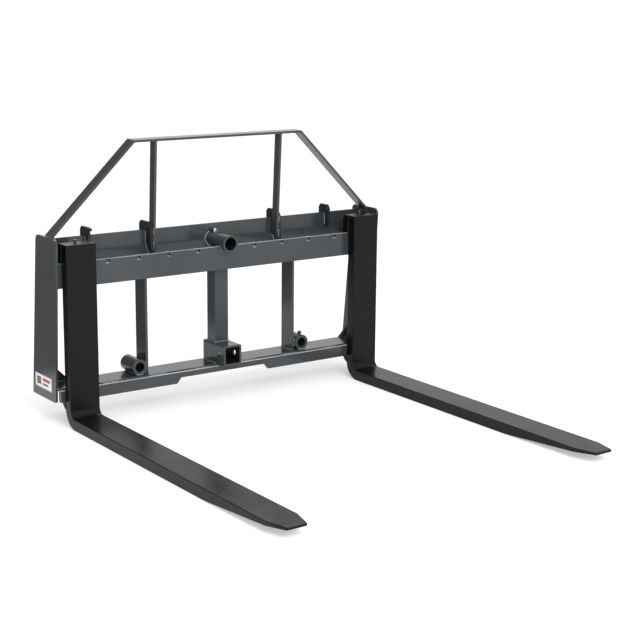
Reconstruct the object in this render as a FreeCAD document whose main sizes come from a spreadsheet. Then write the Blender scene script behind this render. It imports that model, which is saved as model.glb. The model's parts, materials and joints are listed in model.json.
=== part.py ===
import FreeCAD, Part
import os
from types import SimpleNamespace

import Sketcher
from FreeCAD import Placement, Rotation, Vector

# Pallet fork attachment: a welded fork frame, two sliding forks with lock pins, three spear sleeves
# and a receiver tube.  Millimetres.  +X runs along the frame, +Y towards the loader and +Z up.
# The origin is the centre of the whole attachment's footprint, on the ground under the blades.

DRIVING_SIZES = {
    # frame
    "half_width": 575.5, "end_plate_gauge": 6.4, "plate_gauge": 6.4, "face_y": 472.0,
    "end_low": 67.8, "end_high": 553.7, "end_front_low": 19.9, "end_front_high": -11.2,
    "end_back_low": 174.0, "end_back_high": 123.0, "end_corner": 18.0,
    # fork bars
    "bar_thick": 16.0, "lower_bar_thick": 12.0, "upper_bar_low": 409.5, "upper_bar_high": 482.0,
    "lower_bar_low": 72.0, "lower_bar_high": 107.7,
    "notch_pitch": 101.6, "notch_width": 13.0, "notch_deep": 9.0, "notch_tall": 12.0,
    "cutout_left": -179.0, "cutout_right": 153.0, "cutout_rise": 17.5, "cutout_slope": 13.5,
    # rear plate and coupler hook lip
    "rear_front": 85.0, "rear_high": 542.0, "web_low": 424.0, "lip_reach": 35.6,
    # lower rail and coupler bottom flange
    "rail_back": 98.6, "rail_high": 111.7, "flange_gauge": 8.0, "flange_length": 74.0,
    "latch_slot_x": 360.0, "latch_slot_width": 45.0, "latch_slot_near": 26.0, "latch_slot_far": 54.0,
    # uprights, post and receiver
    "upright_inner": 262.8, "upright_gauge": 8.0, "upright_front": 30.0, "upright_back": 90.0,
    "post_width": 47.0, "post_depth": 47.0, "post_front": 33.0, "post_wall": 4.8,
    "receiver_outer": 63.5, "receiver_inner": 51.0, "receiver_front": -31.0, "receiver_length": 123.0,
    "receiver_corner": 6.0, "hitch_hole_radius": 8.1, "hitch_hole_y": 2.0,
    # spear sleeves
    "main_radius": 26.2, "main_bore": 20.0, "main_z": 491.0, "main_front": -22.0,
    "side_radius": 24.15, "side_bore": 15.0, "side_x": 295.7, "side_front": 22.0, "side_length": 80.0,
    # ears and load guard
    "ear_gauge": 9.0, "inner_ear_x": 226.0, "inner_ear_front": 54.0, "inner_ear_back": 125.0,
    "outer_ear_x": 427.0, "outer_ear_front": 66.0, "outer_ear_back": 118.0,
    "ear_top": 567.0, "ear_low": 498.0,
    "hoop_front": 39.8, "hoop_depth": 41.0, "hoop_gauge": 7.3, "hoop_rise": 270.3, "hoop_lean": 1.6,
    "hoop_low": 540.0, "hoop_bend_x": 294.3,
    "bar_top_front": 34.9, "bar_foot_front": 55.6, "bar_depth": 28.9, "bar_gauge": 8.0,
    "bar_high": 810.25, "corner_leg": 73.0, "corner_gauge": 8.0,
    # forks
    "fork_x": 508.0, "fork_width": 94.0, "fork_thick": 33.0, "fork_high": 539.0, "fork_gap": 0.5,
    "blade_length": 1085.0, "tip_thick": 8.0, "taper_start": 735.0, "tip_chamfer": 66.0,
    "tip_inset": 17.0, "heel_radius": 55.0, "hook_gap": 1.5, "hook_lip": 11.0, "hook_drop": 14.0,
    "hook_bevel": 12.0,
    "lower_hook_low": 50.0, "lower_hook_high": 86.0,
    # lock pins and set screws
    "pin_radius": 4.2, "pin_y": 4.5, "pin_fit": 0.08, "knob_radius": 6.5, "knob_tall": 3.0,
    "pin_clear": 0.8, "pin_travel": 5.5,
    "screw_radius": 4.0, "screw_fit": 0.05, "screw_head": 7.2, "screw_head_tall": 7.5,
    "screw_stand": 2.5, "main_screw_y": 74.5, "side_screw_y": 35.0,
    # data plate
    "label_y": 44.0, "label_z": 95.0, "label_long": 109.0, "label_tall": 41.0, "label_gauge": 0.8,
}

doc = FreeCAD.newDocument("PalletForkAttachment")
sheet = doc.addObject("Spreadsheet::Sheet", "Sizes")
for row, (alias, value) in enumerate(DRIVING_SIZES.items(), start=1):
    sheet.set(f"A{row}", alias)
    sheet.set(f"B{row}", str(value))
    sheet.setAlias(f"B{row}", alias)
doc.recompute()


class Size:
    """A driving dimension or a formula of them: its number and its spreadsheet expression."""

    def __init__(self, value, text):
        self.value = value
        self.text = text

    def __add__(self, other):
        other = size(other)
        return Size(self.value + other.value, f"({self.text} + {other.text})")

    def __sub__(self, other):
        other = size(other)
        return Size(self.value - other.value, f"({self.text} - {other.text})")

    def __mul__(self, factor):
        return Size(self.value * factor, f"({self.text} * {factor})")

    def __neg__(self):
        return self * -1

    __radd__ = __add__


def size(value):
    """A plain number as a Size, so that formulas can mix both."""
    return value if isinstance(value, Size) else Size(value, f"({value})")


S = SimpleNamespace(**{alias: Size(value, f"Sizes.{alias}") for alias, value in DRIVING_SIZES.items()})
nodes = {}


def keep(node, thing):
    """Names a finished sub-part, which is written to a file of that name."""
    thing.Label = node
    nodes[node] = thing
    return thing


def at_face(y):
    """A Y position given from the front face of the fork bars."""
    return S.face_y + y


def block(name, x, y, z):
    """A plain block between a low and a high position along each axis."""
    thing = doc.addObject("Part::Box", name)
    for side, axis, (low, high) in (("Length", "x", x), ("Width", "y", y), ("Height", "z", z)):
        thing.setExpression(side, (size(high) - low).text)
        thing.setExpression("Placement.Base." + axis, size(low).text)
    return thing


TURN_TO_AXIS = {
    "x": Rotation(Vector(0, 1, 0), 90), "y": Rotation(Vector(1, 0, 0), -90), "z": Rotation()}


def rod(name, axis, start, radius, length):
    """A round bar from a start point (x, y, z), along one axis."""
    thing = doc.addObject("Part::Cylinder", name)
    thing.Placement = Placement(Vector(), TURN_TO_AXIS[axis])
    thing.setExpression("Radius", size(radius).text)
    thing.setExpression("Height", size(length).text)
    for letter, position in zip("xyz", start):
        thing.setExpression("Placement.Base." + letter, size(position).text)
    return thing


def joined(name, *things):
    """Several shapes of one piece as one solid."""
    result = doc.addObject("Part::MultiFuse", name)
    result.Shapes = list(things)
    result.Refine = True
    return result


def cut(name, base, *tools):
    """A piece with one or more tools taken out of it."""
    result = doc.addObject("Part::Cut", name)
    result.Base = base
    result.Tool = tools[0] if len(tools) == 1 else joined(name + "_tools", *tools)
    return result


def origin_plane(body, role):
    """One of a body's own origin planes, by its role."""
    return next(plane for plane in body.Origin.OriginFeatures if plane.Role == role)


def outline(body, role, name, *loops):
    """A sketch of closed straight-sided loops whose corners are bound to the sheet."""
    sketch = body.newObject("Sketcher::SketchObject", name)
    sketch.AttachmentSupport = (origin_plane(body, role), "")
    sketch.MapMode = "FlatFace"
    for corners in loops:
        first = sketch.GeometryCount
        corners = [(size(a), size(b)) for a, b in corners]
        points = [Vector(a.value, b.value, 0) for a, b in corners]
        count = len(points)
        for index, point in enumerate(points):
            sketch.addGeometry(Part.LineSegment(point, points[(index + 1) % count]), False)
        for index, (a, b) in enumerate(corners):
            line = first + index
            previous = first + (index - 1) % count
            sketch.addConstraint(Sketcher.Constraint("Coincident", previous, 2, line, 1))
            for kind, position in (("DistanceX", a), ("DistanceY", b)):
                number = sketch.addConstraint(
                    Sketcher.Constraint(kind, -1, 1, line, 1, position.value))
                sketch.setExpression(f"Constraints[{number}]", position.text)
    return sketch


def plate(name, role, loops, start, gauge):
    """A flat plate: an outline on a body's own plane, padded towards +X, +Y or +Z."""
    body = doc.addObject("PartDesign::Body", name)
    sketch = outline(body, role, name + "_outline", *loops)
    pad = body.newObject("PartDesign::Pad", name + "_pad")
    pad.Profile = sketch
    pad.Reversed = role == "XZ_Plane"
    pad.setExpression("Length", size(gauge).text)
    axis = {"YZ_Plane": "x", "XZ_Plane": "y", "XY_Plane": "z"}[role]
    body.setExpression("Placement.Base." + axis, size(start).text)
    doc.recompute()
    return body


def round_corners(body, corners, radius):
    """Rounds the padded edges that start at the given outline corners."""
    doc.recompute()
    base = body.Tip
    across = {"x": ("y", "z"), "y": ("x", "z"), "z": ("x", "y")}
    picked = []
    for number, edge in enumerate(base.Shape.Edges, start=1):
        step = edge.Vertexes[-1].Point - edge.Vertexes[0].Point
        for axis, (first, second) in across.items():
            if abs(abs(getattr(step, axis)) - step.Length) > 1e-6:
                continue
            here = edge.Vertexes[0].Point
            spot = (getattr(here, first), getattr(here, second))
            for a, b in corners:
                if abs(spot[0] - size(a).value) < 1e-4 and abs(spot[1] - size(b).value) < 1e-4:
                    picked.append(f"Edge{number}")
    assert len(picked) == len(corners), (body.Name, picked)
    fillet = body.newObject("PartDesign::Fillet", f"{body.Name}_round{len(body.Group)}")
    fillet.Base = (base, picked)
    fillet.setExpression("Radius", size(radius).text)
    body.Tip = fillet
    doc.recompute()
    return body


def sides(node):
    """The left and right hand: the node's name and the sign of X on that side."""
    return (("left_" + node, -1), ("right_" + node, 1))


def start_of(side, inner, gauge):
    """The low X of a plate whose inner face is a distance from the centre plane, on one side."""
    return inner if side > 0 else -inner - gauge


def make_end_plates():
    corners = [
        (at_face(S.end_front_low), S.end_low), (at_face(S.end_back_low), S.end_low),
        (at_face(S.end_back_high), S.end_high), (at_face(S.end_front_high), S.end_high)]
    for node, side in sides("end_plate"):
        inner = S.half_width - S.end_plate_gauge
        body = plate(node, "YZ_Plane", [corners], start_of(side, inner, S.end_plate_gauge),
                     S.end_plate_gauge)
        round_corners(body, corners[2:], S.end_corner)
        keep(node, round_corners(body, corners[:2], S.end_corner * 0.4))


def make_upper_fork_bar():
    """The notches take the lock pins; the saddle takes the main spear sleeve."""
    inner = S.half_width - S.end_plate_gauge
    bar = block("upper_bar_blank", (-inner, inner), (at_face(0), at_face(S.bar_thick)),
                (S.upper_bar_low, S.upper_bar_high))
    tools = [rod("sleeve_saddle", "y", (0, at_face(-1), S.main_z), S.main_radius, S.bar_thick + 2)]
    for number in range(1, 6):
        for hand, side in (("left", -1), ("right", 1)):
            middle = S.notch_pitch * (number * side)
            tools.append(block(
                f"notch_{hand}_{number}",
                (middle - S.notch_width * 0.5, middle + S.notch_width * 0.5),
                (at_face(-1), at_face(S.notch_deep)),
                (S.upper_bar_high - S.notch_tall, S.upper_bar_high + 1)))
    keep("upper_fork_bar", cut("upper_fork_bar", bar, *tools))


def make_lower_fork_bar():
    """The recess in the lower edge lets the forks be hung on or taken off at the centre."""
    inner = S.half_width - S.end_plate_gauge
    raised = S.lower_bar_low + S.cutout_rise
    corners = [
        (-inner, S.lower_bar_low), (S.cutout_left, S.lower_bar_low),
        (S.cutout_left + S.cutout_slope, raised), (S.cutout_right - S.cutout_slope, raised),
        (S.cutout_right, S.lower_bar_low), (inner, S.lower_bar_low),
        (inner, S.lower_bar_high), (-inner, S.lower_bar_high)]
    keep("lower_fork_bar", plate("lower_fork_bar", "XZ_Plane", [corners], at_face(0), S.lower_bar_thick))


def main_sleeve_room(name):
    """The space that the main spear sleeve takes behind the upper bar."""
    start = size(S.bar_thick) - 1
    return rod(name, "y", (0, at_face(start), S.main_z), S.main_radius, S.rear_front - start)


def web_height(y):
    """The upper surface of the rear plate's sloping web, which rises at 45 degrees."""
    return S.web_low + size(y) - S.bar_thick


def make_rear_plate():
    """A bent plate: a sloping web off the back of the upper bar, then an upright flange."""
    inner = S.half_width - S.end_plate_gauge
    slope_gauge = S.plate_gauge * 1.41421
    rear_back = S.rear_front + S.plate_gauge
    corners = [
        (at_face(S.bar_thick), S.web_low - slope_gauge), (at_face(S.bar_thick), S.web_low),
        (at_face(S.rear_front), web_height(S.rear_front)), (at_face(S.rear_front), S.rear_high),
        (at_face(rear_back), S.rear_high), (at_face(rear_back), web_height(rear_back) - slope_gauge)]
    bent = plate("rear_plate_blank", "YZ_Plane", [corners], -inner, inner * 2)
    keep("rear_plate", cut("rear_plate", bent, main_sleeve_room("rear_plate_saddle")))


def make_coupler_hook_lip():
    """The strip that drops at 45 degrees behind the loader coupler's upper edge."""
    inner = S.half_width - S.end_plate_gauge
    root = S.rear_front + S.plate_gauge
    tip = root + S.lip_reach
    end_step = S.plate_gauge * 0.70711
    corners = [
        (at_face(root), S.rear_high), (at_face(tip), S.rear_high - S.lip_reach),
        (at_face(tip - end_step), S.rear_high - S.lip_reach - end_step),
        (at_face(root), S.rear_high - S.plate_gauge * 1.41421)]
    keep("coupler_hook_lip", plate("coupler_hook_lip", "YZ_Plane", [corners], -inner, inner * 2))


def make_lower_rail():
    """A flat shelf behind the lower bar, standing a little above the bar's top edge."""
    inner = S.half_width - S.end_plate_gauge
    keep("lower_rail", block("lower_rail", (-inner, inner),
                             (at_face(S.lower_bar_thick), at_face(S.rail_back)),
                             (S.rail_high - S.plate_gauge, S.rail_high)))


def on_flange(along, depth):
    """A point along the bottom flange's slope, and a depth under its upper surface."""
    return (at_face(S.rail_back) + size(along) * 0.86603 - size(depth) * 0.5,
            S.rail_high - size(along) * 0.5 - size(depth) * 0.86603)


def make_coupler_bottom_flange():
    """The flange that slopes down at 30 degrees behind the rail, with two latch slots."""
    inner = S.half_width - S.end_plate_gauge
    root = at_face(S.rail_back)
    corners = [
        (root, S.rail_high), on_flange(S.flange_length, 0), on_flange(S.flange_length, S.flange_gauge),
        (root, S.rail_high - S.flange_gauge * 1.1547)]
    blank = plate("flange_blank", "YZ_Plane", [corners], -inner, inner * 2)
    beyond = S.flange_gauge * 2
    slot = [
        on_flange(S.latch_slot_near, -S.flange_gauge), on_flange(S.latch_slot_far, -S.flange_gauge),
        on_flange(S.latch_slot_far, beyond), on_flange(S.latch_slot_near, beyond)]
    tools = []
    for hand, side in (("left", -1), ("right", 1)):
        low = S.latch_slot_x * side - S.latch_slot_width * 0.5
        tools.append(plate(hand + "_latch_slot", "YZ_Plane", [slot], low, S.latch_slot_width))
    keep("coupler_bottom_flange", cut("coupler_bottom_flange", blank, *tools))


def make_uprights():
    """Flat bars on edge, from the rail up to the underside of the sloping web."""
    underside = S.web_low - S.plate_gauge * 1.41421
    front = S.upright_front
    back = S.upright_back
    corners = [
        (at_face(front), S.rail_high), (at_face(back), S.rail_high),
        (at_face(back), underside + back - S.bar_thick),
        (at_face(front), underside + front - S.bar_thick)]
    for node, side in sides("upright"):
        low = start_of(side, S.upright_inner, S.upright_gauge)
        keep(node, plate(node, "YZ_Plane", [corners], low, S.upright_gauge))


def make_centre_post():
    """A rectangular tube from the receiver up to the sloping web, cut off at 45 degrees."""
    underside = S.web_low - S.plate_gauge * 1.41421
    low = S.rail_high + S.receiver_outer
    front = S.post_front
    back = S.post_front + S.post_depth
    half = S.post_width * 0.5
    corners = [
        (at_face(front), low), (at_face(back), low),
        (at_face(back), underside + back - S.bar_thick),
        (at_face(front), underside + front - S.bar_thick)]
    solid = plate("post_blank", "YZ_Plane", [corners], -half, S.post_width)
    hollow = block("post_hollow", (S.post_wall - half, half - S.post_wall),
                   (at_face(front + S.post_wall), at_face(back - S.post_wall)),
                   (low - 1, S.upper_bar_high))
    keep("centre_post", cut("centre_post", solid, hollow, main_sleeve_room("post_saddle")))


def square_loop(half, low, high):
    return [(-half, low), (half, low), (half, high), (-half, high)]


def make_receiver_tube():
    """A square tube on the rail, with the hitch pin's hole through both side walls."""
    low = S.rail_high
    wall = (S.receiver_outer - S.receiver_inner) * 0.5
    outer = square_loop(S.receiver_outer * 0.5, low, low + S.receiver_outer)
    inner = square_loop(S.receiver_inner * 0.5, low + wall, low + wall + S.receiver_inner)
    tube = plate("receiver_blank", "XZ_Plane", [outer, inner], at_face(S.receiver_front),
                 S.receiver_length)
    round_corners(tube, outer, S.receiver_corner)
    round_corners(tube, inner, S.receiver_corner * 0.35)
    reach = S.receiver_outer * 0.5 + 1
    hole = rod("hitch_pin_hole", "x",
               (-reach, at_face(S.hitch_hole_y), low + S.receiver_outer * 0.5),
               S.hitch_hole_radius, reach * 2)
    keep("receiver_tube", cut("receiver_tube", tube, hole))


def sleeve(node, x, z, front, length, radius, bore, screw_y=None):
    """A round sleeve along Y, with a hole in the top of its wall if it has a set screw."""
    outside = rod(node + "_outside", "y", (x, at_face(front), z), radius, length)
    tools = [rod(node + "_bore", "y", (x, at_face(size(front) - 1), z), bore, size(length) + 2)]
    if screw_y is not None:
        tools.append(rod(node + "_screw_hole", "z", (x, at_face(screw_y), z),
                         S.screw_radius + S.screw_fit, radius * 1.2))
    keep(node, cut(node, outside, *tools))


def side_sleeve_z():
    return S.rail_high + S.side_radius


def make_spear_sleeves():
    sleeve("main_spear_sleeve", 0, S.main_z, S.main_front, S.rear_front - S.main_front,
           S.main_radius, S.main_bore, S.main_screw_y)
    sleeve("left_stabiliser_sleeve", -S.side_x, side_sleeve_z(), S.side_front, S.side_length,
           S.side_radius, S.side_bore)
    sleeve("right_stabiliser_sleeve", S.side_x, side_sleeve_z(), S.side_front, S.side_length,
           S.side_radius, S.side_bore, S.side_screw_y)


def ear_outline(front, back, bottom_front, bottom_back, nose):
    """An ear straddles the rear plate's top edge and sits on the hook lip behind it."""
    rear_back = S.rear_front + S.plate_gauge
    return [
        (at_face(front), bottom_front), *nose,
        (at_face(back) - 8, S.ear_top), (at_face(back), S.ear_top - 10),
        (at_face(back), S.rear_high - back + rear_back),
        (at_face(rear_back), S.rear_high), (at_face(S.rear_front), S.rear_high),
        (at_face(S.rear_front), bottom_back)]


def make_ears():
    """The inner ears reach down to the sloping web; the outer left ear has a chain hook's nose."""
    front = at_face(S.inner_ear_front)
    plain = [(front, S.ear_top - 17), (front + 13, S.ear_top)]
    inner = ear_outline(S.inner_ear_front, S.inner_ear_back, web_height(S.inner_ear_front),
                        web_height(S.rear_front), plain)
    for node, side in sides("inner_ear"):
        low = start_of(side, S.inner_ear_x, S.ear_gauge)
        keep(node, plate(node, "YZ_Plane", [inner], low, S.ear_gauge))
    front = at_face(S.outer_ear_front)
    plain = [(front, S.ear_top - 12), (front + 9, S.ear_top)]
    nosed = [
        (front, S.ear_top - 17), (front + 2, S.ear_top - 15), (front + 2, S.ear_top - 11),
        (front - 10, S.ear_top - 10), (front - 12, S.ear_top - 7), (front - 8, S.ear_top - 2),
        (front + 4, S.ear_top)]
    for (node, side), nose in zip(sides("outer_ear"), (nosed, plain)):
        shape = ear_outline(S.outer_ear_front, S.outer_ear_back, S.ear_low, S.ear_low, nose)
        low = start_of(side, S.outer_ear_x, S.ear_gauge)
        keep(node, plate(node, "YZ_Plane", [shape], low, S.ear_gauge))


def make_guard_hoop():
    """One flat bar bent twice, leaning forward a little, butted on the end plates' inner faces."""
    inner = S.half_width - S.end_plate_gauge
    bend_step = S.hoop_gauge * 0.409
    foot_rise = S.hoop_gauge * 1.405
    under = S.hoop_rise
    corners = [
        (-inner, foot_rise), (-inner, 0), (-S.hoop_bend_x, under), (S.hoop_bend_x, under),
        (inner, 0), (inner, foot_rise), (S.hoop_bend_x + bend_step, under + S.hoop_gauge),
        (-S.hoop_bend_x - bend_step, under + S.hoop_gauge)]
    hoop = plate("guard_hoop", "XZ_Plane", [corners], at_face(S.hoop_front), S.hoop_depth)
    hoop.Placement = Placement(Vector(), Rotation(Vector(1, 0, 0), DRIVING_SIZES["hoop_lean"]))
    hoop.setExpression("Placement.Rotation.Angle", S.hoop_lean.text)
    hoop.setExpression("Placement.Base.z", S.hoop_low.text)
    keep("guard_hoop", hoop)


def make_guard_bars():
    """Flat bars on edge from the sloping web up to the hoop, leaning forward beside the ears."""
    foot = S.bar_foot_front
    foot_back = foot + S.bar_depth - 1.8
    top = S.bar_top_front
    corners = [
        (at_face(foot), web_height(foot)), (at_face(foot_back), web_height(foot_back)),
        (at_face(top + S.bar_depth), S.bar_high + 0.8), (at_face(top), S.bar_high)]
    for node, side in sides("guard_bar"):
        low = start_of(side, S.inner_ear_x - S.bar_gauge, S.bar_gauge)
        keep(node, plate(node, "YZ_Plane", [corners], low, S.bar_gauge))


def make_corner_gussets():
    inner = S.half_width - S.end_plate_gauge
    for node, side in sides("corner_gusset"):
        corners = [
            (inner * side, S.rail_high), (inner * side, S.rail_high + S.corner_leg),
            ((inner - S.corner_leg) * side, S.rail_high)]
        keep(node, plate(node, "XZ_Plane", [corners], at_face(S.rail_back - S.corner_gauge),
                         S.corner_gauge))


def make_data_plate():
    outer = -S.half_width
    keep("data_plate", block(
        "data_plate", (outer - S.label_gauge, outer),
        (at_face(S.label_y), at_face(S.label_y + S.label_long)),
        (S.label_z, S.label_z + S.label_tall)))


def make_tine(node, low):
    """Shank and blade in one bent bar; the blade's underside tapers up to the tip."""
    back = at_face(-S.fork_gap)
    front = back - S.fork_thick
    tip = front - S.blade_length
    heel = (back, 0)
    throat = (front, S.fork_thick)
    corners = [
        heel, (back, S.fork_high), (front, S.fork_high), throat, (tip, S.fork_thick),
        (tip, S.fork_thick - S.tip_thick), (front - S.taper_start, 0)]
    body = plate(node, "YZ_Plane", [corners], low, S.fork_width)
    round_corners(body, [heel], S.heel_radius)
    round_corners(body, [throat], S.heel_radius - S.fork_thick)
    left = [(0, tip), (S.tip_inset, tip), (0, tip + S.tip_chamfer)]
    right = [(S.fork_width, tip), (S.fork_width - S.tip_inset, tip),
             (S.fork_width, tip + S.tip_chamfer)]
    sketch = outline(body, "XY_Plane", node + "_tip_corners", left, right)
    before = body.Shape.Volume
    pocket = body.newObject("PartDesign::Pocket", node + "_tip_pocket")
    pocket.Profile = sketch
    pocket.Reversed = True
    pocket.setExpression("Length", (S.fork_thick + 1).text)
    doc.recompute()
    assert body.Shape.Volume < before - 1
    keep(node, body)


def make_upper_hook(node, low, middle):
    """Hangs over the upper bar, with the lock pin's hole through it."""
    front = at_face(-S.fork_gap)
    lip_front = at_face(S.bar_thick + S.hook_gap)
    lip_back = lip_front + S.hook_lip
    underside = S.upper_bar_high + S.fork_gap
    corners = [
        (front, underside), (lip_front, underside),
        (lip_front, underside - S.hook_drop), (lip_back, underside - S.hook_drop),
        (lip_back, S.fork_high - S.hook_bevel), (lip_back - S.hook_bevel, S.fork_high),
        (front, S.fork_high)]
    body = plate(node + "_blank", "YZ_Plane", [corners], low, S.fork_width)
    hole = rod(node + "_pin_hole", "z", (middle, at_face(S.pin_y), underside - 1),
               S.pin_radius + S.pin_fit, S.fork_high - underside + 2)
    keep(node, cut(node, body, hole))


def make_lower_hook(node, low):
    """Catches the lower bar from below."""
    front = at_face(-S.fork_gap)
    lip_front = at_face(S.lower_bar_thick + S.hook_gap)
    lip_back = lip_front + S.hook_lip
    under_bar = S.lower_bar_low - S.fork_gap
    corners = [
        (front, S.lower_hook_low), (front, under_bar), (lip_front, under_bar),
        (lip_front, S.lower_hook_high), (lip_back, S.lower_hook_high),
        (lip_back, S.lower_bar_low), (front + 12, S.lower_hook_low + 7)]
    keep(node, plate(node, "YZ_Plane", [corners], low, S.fork_width))


def make_lock_pin(side_name, middle):
    """A pin that drops into a notch, with a low button on top; drawn lifted clear of the bar."""
    y = at_face(S.pin_y)
    low = S.upper_bar_high + S.pin_clear
    knob_low = S.fork_high + S.pin_travel + 0.2
    keep(side_name + "lock_pin", rod(side_name + "lock_pin", "z", (middle, y, low),
                                     S.pin_radius, knob_low - low))
    keep(side_name + "lock_knob", rod(side_name + "lock_knob", "z", (middle, y, knob_low),
                                      S.knob_radius, S.knob_tall))


def make_forks():
    for prefix, side in (("left_", -1), ("right_", 1)):
        middle = S.fork_x * side
        low = middle - S.fork_width * 0.5
        make_tine(prefix + "fork_tine", low)
        make_upper_hook(prefix + "upper_hook", low, middle)
        make_lower_hook(prefix + "lower_hook", low)
        make_lock_pin(prefix, middle)


def make_set_screw(node, x, y, z, radius, bore):
    """A hexagon-head set screw through a sleeve's upper wall."""
    shank = rod(node + "_shank", "z", (x, at_face(y), z + bore), S.screw_radius,
                radius - bore + S.screw_stand)
    head = doc.addObject("Part::Prism", node + "_head")
    head.Polygon = 6
    head.setExpression("Circumradius", S.screw_head.text)
    head.setExpression("Height", S.screw_head_tall.text)
    for letter, position in zip("xyz", (x, at_face(y), z + radius + S.screw_stand)):
        head.setExpression("Placement.Base." + letter, size(position).text)
    keep(node, joined(node, shank, head))


def make_set_screws():
    make_set_screw("main_set_screw", 0, S.main_screw_y, S.main_z, S.main_radius, S.main_bore)
    make_set_screw("right_set_screw", S.side_x, S.side_screw_y, side_sleeve_z(), S.side_radius,
                   S.side_bore)


make_end_plates()
make_upper_fork_bar()
make_lower_fork_bar()
make_rear_plate()
make_coupler_hook_lip()
make_lower_rail()
make_coupler_bottom_flange()
make_uprights()
make_centre_post()
make_receiver_tube()
make_spear_sleeves()
make_ears()
make_guard_hoop()
make_guard_bars()
make_corner_gussets()
make_data_plate()
make_forks()
make_set_screws()
doc.recompute()

for thing in doc.Objects:
    assert not {"Invalid", "Error"} & set(thing.State), (thing.Label, thing.State)
os.makedirs("parts", exist_ok=True)
for node, thing in nodes.items():
    assert not thing.Shape.isNull() and thing.Shape.isValid(), node
    thing.Shape.exportStep(f"parts/{node}.step")
    print(node, len(thing.Shape.Solids), round(thing.Shape.Volume / 1000.0, 2), "cm3")
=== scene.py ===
import json
import math
import random

import bpy
from mathutils import Matrix, Vector


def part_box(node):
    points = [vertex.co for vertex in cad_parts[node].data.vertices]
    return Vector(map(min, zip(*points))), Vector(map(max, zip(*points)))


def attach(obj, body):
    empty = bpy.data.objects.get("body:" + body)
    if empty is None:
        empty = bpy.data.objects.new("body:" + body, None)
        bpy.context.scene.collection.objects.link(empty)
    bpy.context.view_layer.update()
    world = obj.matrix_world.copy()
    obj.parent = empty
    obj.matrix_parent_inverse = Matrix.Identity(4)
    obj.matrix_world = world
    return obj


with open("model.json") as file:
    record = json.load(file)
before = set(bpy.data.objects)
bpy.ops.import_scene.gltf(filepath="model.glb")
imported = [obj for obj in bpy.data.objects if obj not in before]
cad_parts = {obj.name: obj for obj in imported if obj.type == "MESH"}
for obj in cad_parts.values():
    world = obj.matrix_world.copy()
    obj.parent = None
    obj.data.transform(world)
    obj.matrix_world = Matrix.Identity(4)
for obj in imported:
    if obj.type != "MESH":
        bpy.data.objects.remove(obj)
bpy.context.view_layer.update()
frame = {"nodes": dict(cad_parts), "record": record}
dice = random.Random(11)
MM = 0.001
MIX_FIRST, MIX_SECOND, MIX_RESULT = 6, 7, 2   # the Mix node's colour sockets


# ---------------------------------------------------------------- materials

class Nodes:
    """A material's node tree, with short calls for the nodes that this scene uses."""

    def __init__(self, name):
        self.material = bpy.data.materials.new(name)
        self.material.use_nodes = True
        self.tree = self.material.node_tree
        self.shader = self.tree.nodes["Principled BSDF"]
        self.place = self.tree.nodes.new("ShaderNodeTexCoord").outputs["Object"]

    def link(self, source, target):
        self.tree.links.new(source, target)

    def noise(self, scale, detail=3.0, stretch=None):
        node = self.tree.nodes.new("ShaderNodeTexNoise")
        node.inputs["Scale"].default_value = scale
        node.inputs["Detail"].default_value = detail
        place = self.place
        if stretch:
            mapping = self.tree.nodes.new("ShaderNodeMapping")
            mapping.inputs["Scale"].default_value = stretch
            self.link(place, mapping.inputs["Vector"])
            place = mapping.outputs["Vector"]
        self.link(place, node.inputs["Vector"])
        return node.outputs["Fac"]

    def spread(self, value, low, high, to_low=0.0, to_high=1.0):
        node = self.tree.nodes.new("ShaderNodeMapRange")
        node.inputs["From Min"].default_value = low
        node.inputs["From Max"].default_value = high
        node.inputs["To Min"].default_value = to_low
        node.inputs["To Max"].default_value = to_high
        self.link(value, node.inputs["Value"])
        return node.outputs["Result"]

    def mix(self, factor, first, second):
        node = self.tree.nodes.new("ShaderNodeMix")
        node.data_type = "RGBA"
        for socket, value in ((node.inputs[MIX_FIRST], first), (node.inputs[MIX_SECOND], second)):
            if isinstance(value, tuple):
                socket.default_value = (*value, 1.0)
            else:
                self.link(value, socket)
        self.link(factor, node.inputs[0])
        return node.outputs[MIX_RESULT]

    def math(self, kind, first, second):
        node = self.tree.nodes.new("ShaderNodeMath")
        node.operation = kind
        for socket, value in zip(node.inputs, (first, second)):
            if isinstance(value, float):
                socket.default_value = value
            else:
                self.link(value, socket)
        return node.outputs[0]

    def bump(self, height, strength, distance, under=None):
        node = self.tree.nodes.new("ShaderNodeBump")
        node.inputs["Strength"].default_value = strength
        node.inputs["Distance"].default_value = distance
        self.link(height, node.inputs["Height"])
        if under is not None:
            self.link(under, node.inputs["Normal"])
        return node.outputs["Normal"]

    def edges(self, radius):
        """High on corners and edges: where a rounded normal turns away from the true one."""
        round_normal = self.tree.nodes.new("ShaderNodeBevel")
        round_normal.samples = 4
        round_normal.inputs["Radius"].default_value = radius
        true_normal = self.tree.nodes.new("ShaderNodeNewGeometry").outputs["True Normal"]
        dot = self.tree.nodes.new("ShaderNodeVectorMath")
        dot.operation = "DOT_PRODUCT"
        self.link(round_normal.outputs["Normal"], dot.inputs[0])
        self.link(true_normal, dot.inputs[1])
        return self.spread(dot.outputs["Value"], 0.995, 0.80)


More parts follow.
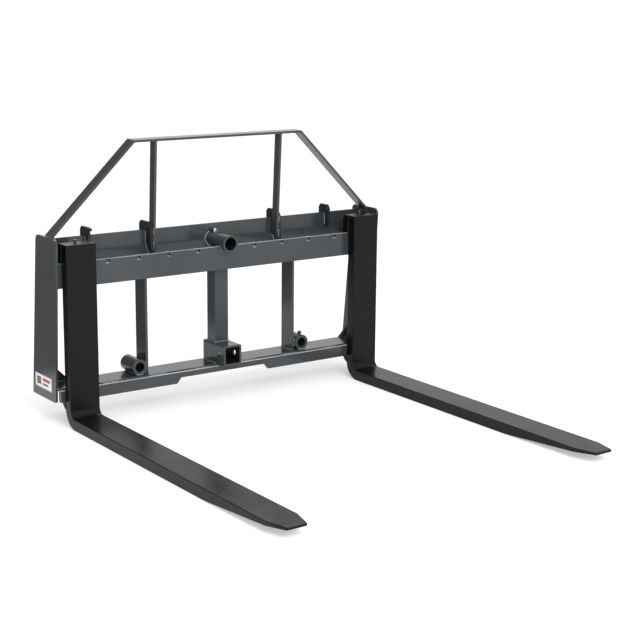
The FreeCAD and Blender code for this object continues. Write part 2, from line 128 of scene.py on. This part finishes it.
def paint(name, dark, light, worn, rough, peel, specular, top_highlight=None):
    """Sprayed or powder paint: clouds of colour, orange peel, dust and thinner paint on edges.

    With the colour given for it, faces that look up are made lighter in streaks: a painted highlight for
    the light along the bars' top faces.
    """
    n = Nodes(name)
    clouds = n.spread(n.noise(4.0, 5.0), 0.35, 0.68)
    colour = n.mix(clouds, dark, light)
    grain = n.spread(n.noise(420.0, 2.0), 0.42, 0.75, 0.0, 0.30)
    colour = n.mix(grain, colour, light)
    dust = n.spread(n.noise(1500.0, 1.0), 0.735, 0.80, 0.0, 0.30)
    colour = n.mix(dust, colour, worn)
    rub = n.math("MULTIPLY", n.edges(1.1 * MM), n.spread(n.noise(130.0, 4.0), 0.45, 0.62, 0.15, 0.8))
    colour = n.mix(rub, colour, worn)
    # Painted highlight: faces that look up are lightened in streaks, standing for the light their tops
    # catch.
    if top_highlight:
        split = n.tree.nodes.new("ShaderNodeSeparateXYZ")
        n.link(n.tree.nodes.new("ShaderNodeNewGeometry").outputs["Normal"], split.inputs[0])
        up = n.spread(split.outputs["Z"], 0.45, 0.9)
        streaks = n.spread(n.noise(14.0, 5.0, (1.0, 8.0, 1.0)), 0.30, 0.55, 0.35, 1.0)
        colour = n.mix(n.math("MULTIPLY", up, streaks), colour, top_highlight)
    n.link(colour, n.shader.inputs["Base Color"])
    patches = n.spread(n.noise(9.0, 6.0), 0.3, 0.7, rough[0], rough[1])
    n.link(patches, n.shader.inputs["Roughness"])
    ripple = n.bump(n.noise(260.0, 2.0), 0.20 * peel, 0.5 * MM)
    fine = n.bump(n.noise(1400.0, 2.0), 0.10 * peel, 0.2 * MM, ripple)
    n.link(fine, n.shader.inputs["Normal"])
    n.shader.inputs["Specular IOR Level"].default_value = specular
    return n.material


def steel(name, dark, light, rough, brush):
    """Plated or bare steel with fine turning marks and a little tarnish."""
    n = Nodes(name)
    tarnish = n.spread(n.noise(180.0, 5.0), 0.35, 0.7)
    n.link(n.mix(tarnish, dark, light), n.shader.inputs["Base Color"])
    n.link(n.spread(n.noise(320.0, 4.0), 0.3, 0.7, rough[0], rough[1]), n.shader.inputs["Roughness"])
    marks = n.noise(500.0, 3.0, (1.0, 1.0, 6.0))
    n.link(n.bump(marks, brush, 0.15 * MM), n.shader.inputs["Normal"])
    n.shader.inputs["Metallic"].default_value = 1.0
    return n.material


def decal(name, node):
    """A blank vinyl label: white, with a grey border and plain red and dark grey blocks that stand for
    its print.
    """
    n = Nodes(name)
    low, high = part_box(node)
    split = n.tree.nodes.new("ShaderNodeSeparateXYZ")
    n.link(n.place, split.inputs[0])
    across = n.spread(split.outputs["Y"], high.y, low.y)
    up = n.spread(split.outputs["Z"], low.z, high.z)

    def block(left, right, bottom, top):
        sides = ((across, left, "GREATER_THAN"), (across, right, "LESS_THAN"),
                 (up, bottom, "GREATER_THAN"), (up, top, "LESS_THAN"))
        mask = None
        for value, limit, kind in sides:
            side = n.math(kind, value, limit)
            mask = side if mask is None else n.math("MULTIPLY", mask, side)
        return mask

    white = n.mix(n.spread(n.noise(60.0, 4.0), 0.3, 0.7), (0.70, 0.70, 0.69), (0.82, 0.82, 0.81))
    field = block(0.035, 0.965, 0.08, 0.92)
    colour = n.mix(field, (0.46, 0.46, 0.46), white)
    ink = n.mix(n.spread(n.noise(300.0, 3.0), 0.3, 0.7), (0.30, 0.03, 0.03), (0.40, 0.06, 0.05))
    colour = n.mix(block(0.44, 0.90, 0.55, 0.78), colour, ink)
    colour = n.mix(block(0.44, 0.80, 0.24, 0.42), colour, ink)
    grey = n.mix(n.spread(n.noise(260.0, 3.0), 0.3, 0.7), (0.05, 0.05, 0.06), (0.10, 0.09, 0.10))
    colour = n.mix(block(0.10, 0.36, 0.22, 0.80), colour, grey)
    colour = n.mix(block(0.15, 0.31, 0.36, 0.66), colour, ink)
    n.link(colour, n.shader.inputs["Base Color"])
    n.link(n.spread(n.noise(90.0, 3.0), 0.3, 0.7, 0.36, 0.52), n.shader.inputs["Roughness"])
    n.link(n.bump(n.noise(700.0, 2.0), 0.08, 0.1 * MM), n.shader.inputs["Normal"])
    return n.material


MATERIALS = {
    "frame_paint": paint("frame_powder_coat", (0.026, 0.0295, 0.032), (0.036, 0.0405, 0.044),
                         (0.11, 0.114, 0.12), (0.12, 0.22), 1.0, 0.38),
    # Bars: a lighter copy of the frame paint, with the painted highlight on faces that look up; both
    # paint in the light the bars catch.
    "bar_paint_painted_highlight": paint("frame_bar_coat_painted_highlight", (0.029, 0.0325, 0.0355), (0.040, 0.045, 0.049),
                       (0.11, 0.114, 0.12), (0.12, 0.22), 1.0, 0.38, (0.42, 0.43, 0.44)),
    "fork_paint": paint("fork_black_paint", (0.0022, 0.0022, 0.0024), (0.004, 0.004, 0.0043),
                        (0.03, 0.03, 0.03), (0.22, 0.34), 1.3, 0.165),
    # Ears: a darker, duller copy of the frame paint with lighter edges. This is painted shade for the
    # dark their faces reflect, and a painted highlight along their edges.
    "ear_paint_painted_shade": paint("ear_coat_painted_shade", (0.012, 0.013, 0.015), (0.022, 0.024, 0.027),
                       (0.16, 0.164, 0.17), (0.16, 0.26), 1.4, 0.10),
    "weld_paint": paint("weld_powder_coat", (0.030, 0.032, 0.036), (0.060, 0.064, 0.070),
                        (0.34, 0.345, 0.35), (0.06, 0.14), 4.0, 1.0),
    # Painted shade: a near-black, dull coat for the insides of tubes, where shade falls.
    "bore_painted_shade": paint("bore_painted_shade_coat", (0.006, 0.006, 0.007), (0.012, 0.012, 0.013),
                        (0.03, 0.03, 0.03), (0.45, 0.6), 1.0, 0.06),
    "pin_steel": steel("pin_dull_steel", (0.07, 0.07, 0.075), (0.13, 0.13, 0.135), (0.32, 0.5), 0.25),
    "screw_zinc": steel("screw_bright_zinc", (0.55, 0.55, 0.56), (0.78, 0.78, 0.79), (0.16, 0.3), 0.2),
    "screw_black": paint("screw_black_oxide", (0.012, 0.012, 0.013), (0.02, 0.02, 0.022),
                         (0.12, 0.12, 0.12), (0.3, 0.45), 1.0, 0.5),
    "label": decal("blank_label", "data_plate"),
}

# ------------------------------------------- finish on the CAD nodes: edges, shading and paint

EDGE_ROUND = {"fork_tine": 2.2, "upper_hook": 1.2, "lower_hook": 1.2, "fork_bar": 2.2, "tube": 0.8,
              "sleeve": 1.0, "data_plate": 0.15, "lock_pin": 0.3, "lock_knob": 0.8, "screw": 0.4}


def edge_round(name):
    return next((size for part, size in EDGE_ROUND.items() if part in name), 0.8) * MM


def shade_bore_inside(node, thing):
    """Gives the faces that look towards a tube's long axis a near-black coat: painted shade for the
    inside of a bore.
    """
    low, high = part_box(node)
    centre = (low + high) / 2
    for face in thing.data.polygons:
        inward = centre - thing.matrix_world @ face.center
        inward.y = 0
        if face.normal.dot(inward.normalized()) > 0.5:
            face.material_index = 1


def dress(node, thing, slot_name):
    """Rounds and shades a CAD node's edges by modifiers and gives it its paint."""
    mesh = thing.data
    for attribute in ("sharp_edge", "sharp_face", "custom_normal"):
        if attribute in mesh.attributes:
            mesh.attributes.remove(mesh.attributes[attribute])
    weld = thing.modifiers.new("weld", "WELD")
    weld.merge_threshold = 0.01 * MM
    bevel = thing.modifiers.new("edges", "BEVEL")
    bevel.width = edge_round(node)
    bevel.segments = 3
    bevel.limit_method = "ANGLE"
    bevel.angle_limit = math.radians(32)
    bevel.miter_outer = "MITER_ARC"
    normals = thing.modifiers.new("normals", "WEIGHTED_NORMAL")
    normals.weight = 90
    mesh.materials.clear()
    # Bars take the copy with painted highlight, ears the darker copy with painted shade.
    look = "bar_paint_painted_highlight" if "fork_bar" in node else "ear_paint_painted_shade" if node.endswith("_ear") else slot_name
    mesh.materials.append(MATERIALS[look])
    # Painted shade: faces inside the sleeves and the receiver take the near-black coat.
    if "sleeve" in node or "receiver" in node:
        mesh.materials.append(MATERIALS["bore_painted_shade"])
        shade_bore_inside(node, thing)


slots = {part["node"]: part["material_slot"] for part in frame["record"]["subparts"]}
for node, thing in frame["nodes"].items():
    dress(node, thing, slots[node])


# ---------------------------------------------------------------- weld beads

def resample(path, step):
    """Points at even steps along a polyline."""
    points = [Vector(p) for p in path]
    result = [points[0]]
    carried = 0.0
    for a, b in zip(points, points[1:]):
        length = (b - a).length
        at = step - carried
        while at < length:
            result.append(a.lerp(b, at / length))
            at += step
        carried = length - (at - step)
    if (result[-1] - points[-1]).length > step * 0.3:
        result.append(points[-1])
    return result


BEAD_SIDES = 9       # corners of a bead's section
PUDDLE_RINGS = 5     # sections along one puddle
DRIFT_RINGS = 20     # sections between two changes of the bead's width


def bead(name, path, radius, body="frame", slot_name="frame_paint"):
    """A run of weld: overlapping puddles along a path, as one closed mesh that rides on a body."""
    pitch = radius * 0.85
    step = pitch / PUDDLE_RINGS
    points = resample(path, step)
    count = len(points)
    vertices, faces = [], []
    normal = None
    phase = dice.random() * pitch
    drift = [dice.uniform(-1, 1) for _ in range(count // DRIFT_RINGS + 3)]
    for index, point in enumerate(points):
        tangent = points[min(index + 1, count - 1)] - points[max(index - 1, 0)]
        tangent.normalize()
        if normal is None:
            normal = tangent.orthogonal().normalized()
        normal = (normal - tangent * normal.dot(tangent)).normalized()
        other = tangent.cross(normal)
        along = (index * step + phase) / pitch
        ripple = 0.86 + 0.20 * math.sqrt(1 - (2 * (along % 1.0) - 1) ** 2 * 0.98)
        knot, past = divmod(index, DRIFT_RINGS)
        wander = drift[knot] + (drift[knot + 1] - drift[knot]) * past / DRIFT_RINGS
        size = radius * ripple * (1 + 0.08 * wander)
        end = min(index, count - 1 - index) * step
        if end < radius:
            size *= math.sqrt(max(0.04, 1 - (1 - end / radius) ** 2))
        for side in range(BEAD_SIDES):
            angle = 2 * math.pi * side / BEAD_SIDES
            vertices.append(point + (normal * math.cos(angle) + other * math.sin(angle)) * size)
    for ring in range(count - 1):
        low, high = ring * BEAD_SIDES, (ring + 1) * BEAD_SIDES
        for side in range(BEAD_SIDES):
            after = (side + 1) % BEAD_SIDES
            faces.append((low + side, low + after, high + after, high + side))
    faces.append(tuple(reversed(range(BEAD_SIDES))))
    faces.append(tuple(range((count - 1) * BEAD_SIDES, count * BEAD_SIDES)))
    mesh = bpy.data.meshes.new(name)
    mesh.from_pydata(vertices, [], faces)
    mesh.polygons.foreach_set("use_smooth", [True] * len(mesh.polygons))
    mesh.materials.append(MATERIALS["weld_paint" if body == "frame" else slot_name])
    thing = bpy.data.objects.new(name, mesh)
    bpy.context.scene.collection.objects.link(thing)
    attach(thing, body)


def arc(centre, radius, start, end, y_of, steps=48):
    """Points round an axis along Y; angles in degrees from the top, clockwise from the front."""
    points = []
    for step in range(steps + 1):
        angle = math.radians(start + (end - start) * step / steps)
        x = centre[0] + radius * math.sin(angle)
        z = centre[1] + radius * math.cos(angle)
        points.append((x, y_of(z), z))
    return points


PLATE = 6.4 * MM                      # the rear plate's thickness
WEB_START = 424.0 * MM                # height at which the sloping web leaves the upper bar's back
WEB_DROP = 9.05 * MM                  # the web's thickness measured straight down
bar_low, bar_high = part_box("upper_fork_bar")
face = bar_low.y
bar_back = bar_high.y
rear_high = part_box("rear_plate")[1]
lip_low, lip_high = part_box("coupler_hook_lip")
rear_back = lip_low.y
rear_front = rear_back - PLATE
rail_low, rail_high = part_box("lower_rail")
rail_top = rail_high.z
inner = rail_high.x


def web_y(z):
    """The front surface of the rear plate at a height: the sloping web, then the upright flange."""
    return min(rear_front, max(bar_back, bar_back + z - WEB_START))


def web_z(y):
    """The height of the sloping web's front surface at a depth."""
    return WEB_START + y - bar_back


def weld_main_sleeve():
    low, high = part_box("main_spear_sleeve")
    radius = (high.x - low.x) / 2
    centre = (0.0, (low.z + high.z) / 2)
    bead("weld_main_sleeve_rear", arc(centre, radius + 1.2 * MM, 24, 336, web_y, 90), 3.7 * MM)
    meet = math.degrees(math.acos((bar_high.z - centre[1]) / radius))
    bead("weld_main_sleeve_bar_front",
         arc(centre, radius + 0.6 * MM, meet, 360 - meet, lambda z: face - 0.2 * MM), 2.2 * MM)
    bead("weld_main_sleeve_bar_back",
         arc(centre, radius + 1.0 * MM, meet, 360 - meet, lambda z: bar_back + 0.5 * MM), 3.0 * MM)
    for side in (-1, 1):
        x = side * (radius * math.sin(math.radians(meet)) + 1.2 * MM)
        bead(f"weld_main_sleeve_bar_top_{side + 1}",
             [(x, face + 1 * MM, bar_high.z + 0.4 * MM), (x, bar_back, bar_high.z + 0.4 * MM)],
             2.6 * MM)


def weld_side_sleeve(hand, sign):
    low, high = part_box(hand + "_stabiliser_sleeve")
    x, foot = (low.x + high.x) / 2, rail_top + 1.8 * MM
    reach = 9.5 * MM
    bead(f"weld_{hand}_sleeve_rail",
         [(x - reach, high.y - 4 * MM, foot), (x - reach, low.y + 1 * MM, foot),
          (x - reach * 0.7, low.y - 0.6 * MM, foot), (x + reach * 0.7, low.y - 0.6 * MM, foot),
          (x + reach, low.y + 1 * MM, foot), (x + reach, high.y - 4 * MM, foot)], 3.6 * MM)
    up_low, up_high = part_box(hand + "_upright")
    wall = up_high.x if sign > 0 else up_low.x
    middle = (low.z + high.z) / 2
    for number, rise in enumerate((7.5, -7.5)):
        z = middle + rise * MM
        bead(f"weld_{hand}_sleeve_upright_{number}",
             [(wall + sign * 0.8 * MM, up_low.y + 1 * MM, z), (wall + sign * 0.8 * MM, up_high.y, z)],
             2.6 * MM)
    bead(f"weld_{hand}_sleeve_upright_front",
         [(wall + sign * 1.0 * MM, up_low.y + 0.4 * MM, middle - 13 * MM),
          (wall + sign * 1.0 * MM, up_low.y + 0.4 * MM, middle + 13 * MM)], 2.8 * MM)


def weld_receiver():
    low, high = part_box("receiver_tube")
    foot = rail_top + 0.8 * MM
    for side, x in enumerate((low.x - 0.3 * MM, high.x + 0.3 * MM)):
        bead(f"weld_receiver_rail_{side}", [(x, rail_low.y + 2 * MM, foot), (x, high.y - 3 * MM, foot)],
             3.4 * MM)
    bead("weld_receiver_front", [(low.x + 5 * MM, rail_low.y - 0.5 * MM, rail_top - 0.6 * MM),
                                 (high.x - 5 * MM, rail_low.y - 0.5 * MM, rail_top - 0.6 * MM)], 3.0 * MM)
    post_low, post_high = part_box("centre_post")
    z = post_low.z + 0.6 * MM
    front = post_low.y - 0.4 * MM
    left, right = post_low.x - 0.4 * MM, post_high.x + 0.4 * MM
    bead("weld_post_foot", [(left, post_high.y, z), (left, front, z), (right, front, z),
                            (right, post_high.y, z)], 2.6 * MM)
    rest = web_z(post_low.y) - WEB_DROP
    bead("weld_post_head", [(left, post_low.y, rest - 0.5 * MM), (right, post_low.y, rest - 0.5 * MM)],
         3.0 * MM)


def weld_uprights():
    for hand in ("left", "right"):
        low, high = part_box(hand + "_upright")
        z = rail_top + 0.5 * MM
        for side, x in enumerate((low.x - 0.4 * MM, high.x + 0.4 * MM)):
            bead(f"weld_{hand}_upright_foot_{side}",
                 [(x, low.y + 1 * MM, z), (x, high.y - 1 * MM, z)], 2.8 * MM)
            bead(f"weld_{hand}_upright_head_{side}",
                 [(x, low.y + 1 * MM, web_z(low.y) - WEB_DROP),
                  (x, high.y - 1 * MM, web_z(high.y) - WEB_DROP)],
                 2.8 * MM)


def weld_ears():
    for hand in ("left", "right"):
        for kind in ("inner", "outer"):
            low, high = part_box(f"{hand}_{kind}_ear")
            for side, x in enumerate((low.x - 0.3 * MM, high.x + 0.3 * MM)):
                top = rear_high.z - 4 * MM
                start = (x, rear_front - 0.3 * MM, max(low.z, web_z(rear_front)) + 2 * MM)
                path = [start, (x, rear_front - 0.3 * MM, top)]
                if kind == "inner":
                    path.insert(0, (x, low.y + 3 * MM, web_z(low.y + 3 * MM)))
                bead(f"weld_{hand}_{kind}_ear_{side}", path, 2.6 * MM)
                bead(f"weld_{hand}_{kind}_ear_back_{side}",
                     [(x, rear_back + 2 * MM, rear_high.z - 2 * MM),
                      (x, high.y - 3 * MM, rear_high.z - (high.y - 3 * MM - rear_back))], 2.4 * MM)


HOOP_UNDER = 809.8 * MM   # height of the weld where the guard bars meet the hoop


def weld_guard():
    hoop_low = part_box("guard_hoop")[0]
    for hand, sign in (("left", -1), ("right", 1)):
        low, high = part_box(hand + "_guard_bar")
        ear_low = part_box(hand + "_inner_ear")[0]
        inside = high.x if sign < 0 else low.x
        outside = low.x if sign < 0 else high.x
        x = inside - sign * 0.3 * MM
        depths = (ear_low.y + 4 * MM, ear_low.y + 26 * MM)
        bead(f"weld_{hand}_bar_foot", [(x, y, web_z(y)) for y in depths], 2.8 * MM)
        bead(f"weld_{hand}_bar_ear",
             [(outside, ear_low.y - 0.6 * MM, low.z + 16 * MM),
              (outside, ear_low.y - 1.2 * MM, low.z + 44 * MM)], 2.4 * MM)
        bead(f"weld_{hand}_bar_ear_top",
             [(outside, ear_low.y - 2.4 * MM, low.z + 66 * MM),
              (outside, ear_low.y - 3.2 * MM, low.z + 86 * MM)], 2.4 * MM)
        for side, edge in enumerate((low.x - 0.2 * MM, high.x + 0.2 * MM)):
            bead(f"weld_{hand}_bar_head_{side}",
                 [(edge, low.y + 2 * MM, HOOP_UNDER), (edge, low.y + 27 * MM, HOOP_UNDER + 0.7 * MM)],
                 2.2 * MM)
        wall = sign * inner
        for level, z in (("under", hoop_low.z + 0.2 * MM), ("over", hoop_low.z + 11.0 * MM)):
            bead(f"weld_{hand}_hoop_{level}",
                 [(wall - sign * 0.8 * MM, face + depth * MM, z) for depth in (42, 79)], 2.6 * MM)


def weld_frame_ends():
    for hand, sign in (("left", -1), ("right", 1)):
        wall = sign * (inner - 0.3 * MM)
        lower_low, lower_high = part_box("lower_fork_bar")
        seam = face - 0.2 * MM
        back = rear_back + 0.3 * MM
        root = bar_back + 3 * MM
        runs = {
            "upper_bar": ([(wall, seam, bar_low.z + 4 * MM), (wall, seam, bar_high.z - 4 * MM)], 2.4),
            "lower_bar": ([(wall, seam, lower_low.z + 3 * MM), (wall, seam, lower_high.z - 2 * MM)],
                          2.4),
            "rear_plate": ([(wall, root, web_z(root)), (wall, rear_front, web_z(rear_front)),
                            (wall, rear_front, rear_high.z - 3 * MM)], 2.8),
            "rear_back": ([(wall, back, WEB_START + 66 * MM), (wall, back, rear_high.z - 12 * MM)],
                          3.0),
            "rail": ([(wall, rail_low.y + 3 * MM, rail_top), (wall, rail_high.y - 10 * MM, rail_top)],
                     2.8),
        }
        for run, (path, size) in runs.items():
            bead(f"weld_{hand}_end_{run}", path, size * MM)
        low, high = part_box(hand + "_corner_gusset")
        near, far = (high.x, low.x) if sign > 0 else (low.x, high.x)
        bead(f"weld_{hand}_gusset_rail", [(far + sign * 4 * MM, low.y, rail_top + 0.4 * MM),
                                          (near - sign * 2 * MM, low.y, rail_top + 0.4 * MM)], 2.6 * MM)
        bead(f"weld_{hand}_gusset_wall", [(wall, low.y, low.z + 3 * MM), (wall, low.y, high.z - 4 * MM)],
             2.6 * MM)


def weld_back():
    """Stitch welds along the lip, the flange and the lower rail, seven of each."""
    lip_foot = lip_high.z - 9.2 * MM
    seam = rail_low.y - 0.3 * MM
    for number in range(7):
        middle = (number - 3) * 160 * MM
        ends = (middle - 28 * MM, middle + 28 * MM)
        between = (middle + 52 * MM, middle + 108 * MM) if number < 6 else (492 * MM, 540 * MM)
        bead(f"weld_lip_{number}", [(x, rear_back + 0.3 * MM, lip_foot) for x in ends], 2.8 * MM)
        bead(f"weld_flange_{number}",
             [(x, rail_high.y + 0.2 * MM, rail_top - 6.8 * MM) for x in ends], 2.8 * MM)
        bead(f"weld_rail_bar_{number}", [(x, seam, rail_low.z + 2.6 * MM) for x in between], 2.4 * MM)


def weld_forks():
    """Two short runs down the back of each shank at each hook."""
    lower_bar_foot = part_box("lower_fork_bar")[0].z
    for hand in ("left", "right"):
        for kind in ("upper", "lower"):
            low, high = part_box(f"{hand}_{kind}_hook")
            if kind == "upper":
                bottom, top = low.z + 18 * MM, high.z - 3 * MM
            else:
                bottom, top = low.z + 3 * MM, lower_bar_foot - 4 * MM
            for side, x in enumerate((low.x, high.x)):
                bead(f"weld_{hand}_{kind}_hook_{side}", [(x, low.y, bottom), (x, low.y, top)],
                     2.2 * MM, hand + "_fork", "fork_paint")


weld_main_sleeve()
weld_side_sleeve("left", -1)
weld_side_sleeve("right", 1)
weld_receiver()
weld_uprights()
weld_ears()
weld_guard()
weld_frame_ends()
weld_back()
weld_forks()

# ---------------------------------------------------------------- stage, lights and camera

FLOOR_REACH = 60.0
floor_mesh = bpy.data.meshes.new("floor")
floor_mesh.from_pydata([(x * FLOOR_REACH, y * FLOOR_REACH, 0)
                        for x, y in ((-1, -1), (1, -1), (1, 1), (-1, 1))], [], [(0, 1, 2, 3)])
floor = bpy.data.objects.new("floor", floor_mesh)
bpy.context.scene.collection.objects.link(floor)
floor.location.z = -0.2 * MM
floor_look = Nodes("floor_paper")
floor_look.link(floor_look.mix(floor_look.noise(2.0), (0.60, 0.60, 0.60), (0.62, 0.62, 0.62)),
                floor_look.shader.inputs["Base Color"])
floor_look.shader.inputs["Roughness"].default_value = 0.9
floor_look.shader.inputs["Specular IOR Level"].default_value = 0.1
floor_look.shader.inputs["Emission Color"].default_value = (1.0, 1.0, 1.0, 1.0)
floor_look.shader.inputs["Emission Strength"].default_value = 0.42
floor_mesh.materials.append(floor_look.material)

world = bpy.data.worlds.new("studio")
world.use_nodes = True
world.node_tree.nodes["Background"].inputs["Color"].default_value = (1.0, 1.0, 1.0, 1.0)
world.node_tree.nodes["Background"].inputs["Strength"].default_value = 1.0
bpy.context.scene.world = world


def softbox(name, place, aim, size, power, diffuse=True):
    """A rectangular lamp; without diffuse it shows only as a glint in the paint."""
    lamp = bpy.data.lights.new(name, "AREA")
    lamp.shape = "RECTANGLE"
    lamp.size, lamp.size_y = size
    lamp.energy = power
    thing = bpy.data.objects.new(name, lamp)
    bpy.context.scene.collection.objects.link(thing)
    thing.location = place
    thing.visible_camera = False
    thing.visible_diffuse = diffuse
    thing.rotation_euler = (Vector(aim) - Vector(place)).to_track_quat("-Z", "Y").to_euler()


softbox("softbox_key", (-0.9, -3.9, 2.9), (0, 0.2, 0.2), (2.6, 2.6), 190)
softbox("softbox_edge", (1.7, 2.3, 3.4), (0, 0.4, 0.4), (1.6, 1.6), 85, diffuse=False)


def flag(name, start, end, height):
    """A dark card that stands outside the view, as in a photo studio; only reflections see it."""
    mesh = bpy.data.meshes.new(name)
    (ax, ay), (bx, by) = start, end
    mesh.from_pydata([(ax, ay, 0), (bx, by, 0), (bx, by, height), (ax, ay, height)], [], [(0, 1, 2, 3)])
    thing = bpy.data.objects.new(name, mesh)
    bpy.context.scene.collection.objects.link(thing)
    card = Nodes(name)
    card.link(card.mix(card.noise(3.0), (0.15, 0.15, 0.15), (0.19, 0.19, 0.19)),
              card.shader.inputs["Base Color"])
    card.shader.inputs["Roughness"].default_value = 0.9
    mesh.materials.append(card.material)
    thing.visible_camera = False
    thing.visible_shadow = False
    thing.visible_diffuse = False


flag("flag_left", (-3.2, 1.05), (-0.62, 1.05), 2.0)
flag("flag_back", (-0.62, 1.05), (0.55, 3.8), 2.0)

YAW, PITCH, ROLL = (math.radians(a) for a in (35.625, 12.79, 0.544))
EYE = Vector((-2.3873, -3.3569, 1.2715))
LENS, SHIFT = 83.97, (-0.0015, 0.0016)
forward = Vector((math.sin(YAW) * math.cos(PITCH), math.cos(YAW) * math.cos(PITCH), -math.sin(PITCH)))
level = Vector((math.cos(YAW), -math.sin(YAW), 0.0))
upward = level.cross(forward)
right = level * math.cos(ROLL) + upward * math.sin(ROLL)
upward = upward * math.cos(ROLL) - level * math.sin(ROLL)
camera = bpy.data.objects.new("camera", bpy.data.cameras.new("camera"))
bpy.context.scene.collection.objects.link(camera)
turn = Matrix((right, upward, -forward)).transposed()
camera.matrix_world = Matrix.Translation(EYE) @ turn.to_4x4()
camera.data.sensor_width = 36.0
camera.data.lens = LENS
camera.data.shift_x, camera.data.shift_y = SHIFT
camera.data.clip_end = 200.0
bpy.context.scene.camera = camera
bpy.context.scene.view_settings.view_transform = "Standard"

bpy.context.view_layer.update()
